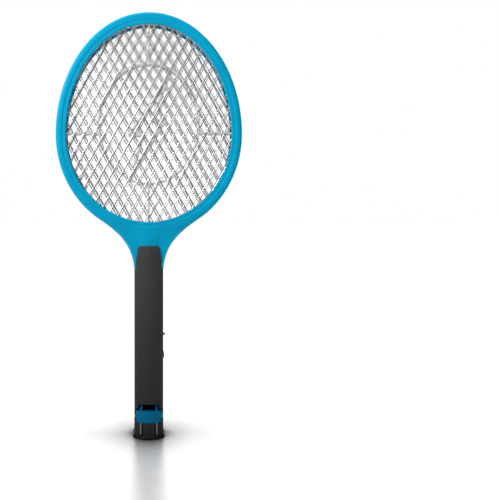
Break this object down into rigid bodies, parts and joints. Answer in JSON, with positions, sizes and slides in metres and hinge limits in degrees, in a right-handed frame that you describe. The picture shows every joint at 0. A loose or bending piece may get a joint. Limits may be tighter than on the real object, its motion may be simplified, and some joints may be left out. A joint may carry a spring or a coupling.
{
  "type": "electric fly swatter",
  "caption": "Racket-shaped electric fly swatter with three metal grids in an oval frame, a switch and trigger on the handle's edge and a folding mains plug in its end.",
  "frame": {"origin": "on the floor under the handle's axis, at the centre of the bounding box's base", "axes": "+X to the user's right facing the front, -Y the front, +Z from the foot to the top of the head"},
  "size_m": [0.222, 0.0356, 0.505],
  "materials": {
    "frame_plastic": "satin moulded ABS",
    "plug_plastic": "satin moulded plastic",
    "grid_metal": "bright expanded metal",
    "brace_plastic": "natural white plastic",
    "handle_plastic": "soft-touch matte",
    "black_plastic": "matte",
    "switch_steel": "plated",
    "pin_nickel": "nickel plated",
    "steel": "zinc plated",
    "brass": "plain",
    "led_lens": "tinted diffused lens",
    "board_laminate": "phenolic laminate",
    "copper": "enamelled wire",
    "ferrite": "sintered",
    "capacitor_film": "dipped",
    "component_black": "moulded",
    "resistor_body": "lacquered",
    "cell_wrap": "shrink sleeve",
    "lead_red": "PVC insulation",
    "lead_black": "PVC insulation"
  },
  "bodies": {
    "racket": {"front_frame_shell": "frame_plastic", "rear_frame_shell": "frame_plastic", "front_guard_grid": "grid_metal", "high_voltage_grid": "grid_metal", "rear_guard_grid": "grid_metal", "front_brace": "brace_plastic", "rear_brace": "brace_plastic", "handle_front_shell": "handle_plastic", "handle_rear_shell": "handle_plastic", "end_cap": "black_plastic", "contact_carrier": "black_plastic", "button_switch": "black_plastic", "slide_switch_body": "switch_steel", "plug_axle": "steel", "plug_contacts": "brass", "button_spring": "steel", "indicator_led": "led_lens", "main_board": "board_laminate", "charger_board": "board_laminate", "transformer_bobbin": "black_plastic", "transformer_winding": "copper", "transformer_core": "ferrite", "high_voltage_capacitor": "capacitor_film", "dropper_capacitor": "capacitor_film", "multiplier_diodes": "component_black", "bridge_diodes": "component_black", "oscillator_transistor": "component_black", "board_resistors": "resistor_body", "battery_cells": "cell_wrap", "battery_links": "pin_nickel", "battery_cradle": "black_plastic", "high_voltage_lead": "lead_red", "front_ground_lead": "lead_black", "rear_ground_lead": "lead_black", "battery_leads": "lead_red", "charger_leads": "lead_red", "frame_screws": "steel", "handle_screws": "steel", "board_screws": "steel"},
    "plug": {"plug_block": "plug_plastic", "plug_pin_left": "pin_nickel", "plug_pin_right": "pin_nickel"},
    "button": {"push_button": "black_plastic"},
    "switch": {"slide_knob": "black_plastic"}
  },
  "joints": [
    {"name": "plug_fold", "type": "hinge", "parent": "racket", "child": "plug", "pos_m": [0, -0.00905, 0.0253], "axis": [-1, 0, 0], "range_deg": [0, 90]},
    {"name": "button_press", "type": "slide", "parent": "racket", "child": "button", "axis": [-1, 0, 0], "range_m": [0, 0.001], "stiffness_N_per_m": 400, "deforming": ["button_spring"]},
    {"name": "switch_slide", "type": "slide", "parent": "racket", "child": "switch", "axis": [0, 0, 1], "range_m": [0, 0.004]}
  ]
}
